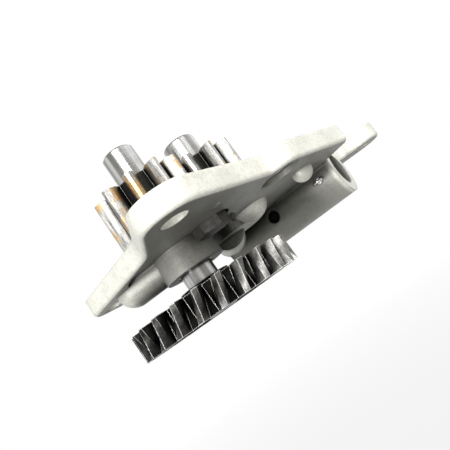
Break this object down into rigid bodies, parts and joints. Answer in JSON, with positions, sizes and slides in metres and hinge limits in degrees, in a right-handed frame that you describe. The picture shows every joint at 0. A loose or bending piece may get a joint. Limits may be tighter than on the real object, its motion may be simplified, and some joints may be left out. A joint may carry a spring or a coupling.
{
  "type": "engine oil pump",
  "caption": "Gear oil pump on a cast cover: meshing spur pump gears on ground shafts, helical drive gear and relief valve tube.",
  "frame": {"origin": "drive shaft axis in the plane of the cover's mounting face", "axes": "+Z out of the mounting face towards the free ends of the shafts, +Y from the front arm to the rear edge, +X towards the relief valve tube's mouth and the end lobe"},
  "size_m": [0.1835, 0.17, 0.088],
  "materials": {
    "cast_cover": "blasted casting with machined faces",
    "bronze_bush": "bored",
    "ground_steel": "ground and polished",
    "pump_gear_steel": "sintered or shaped teeth, oil stained",
    "helical_gear_steel": "shaved teeth, dark",
    "key_steel": "drawn",
    "washer_steel": "satin",
    "spring_steel": "oil tempered",
    "pin_steel": "bright",
    "plug_steel": "phosphated",
    "copper_washer": "annealed copper"
  },
  "bodies": {
    "cover": {"pump_cover": "cast_cover", "drive_shaft_bush": "bronze_bush", "driven_shaft_bush": "bronze_bush", "relief_spring": "spring_steel", "relief_spring_shim": "washer_steel", "relief_spring_seat": "washer_steel", "relief_split_pin": "pin_steel", "gallery_plug": "plug_steel", "gallery_plug_washer": "copper_washer"},
    "drive_train": {"drive_shaft": "ground_steel", "drive_pump_gear": "pump_gear_steel", "drive_gear_key": "key_steel", "helical_drive_gear": "helical_gear_steel", "helical_gear_key": "key_steel", "helical_thrust_washer": "washer_steel", "drive_circlip": "spring_steel"},
    "driven_set": {"driven_shaft": "ground_steel", "driven_pump_gear": "pump_gear_steel", "driven_gear_key": "key_steel"},
    "relief_valve": {"relief_plunger": "ground_steel"}
  },
  "joints": [
    {"name": "drive_spin", "type": "hinge", "parent": "cover", "child": "drive_train", "pos_m": [0, 0, 0], "axis": [0, 0, 1], "continuous": true},
    {"name": "driven_spin", "type": "hinge", "parent": "cover", "child": "driven_set", "pos_m": [0.027, 0.026, 0], "axis": [0, 0, 1], "continuous": true},
    {"name": "relief_slide", "type": "slide", "parent": "cover", "child": "relief_valve", "axis": [0.891, -0.454, 0], "range_m": [0, 0.017], "stiffness_N_per_m": 600, "springref_m": -0.01, "deforming": ["relief_spring"]}
  ],
  "couplings": [
    {"joint": "driven_spin", "follows": "drive_spin", "ratio": -1}
  ]
}
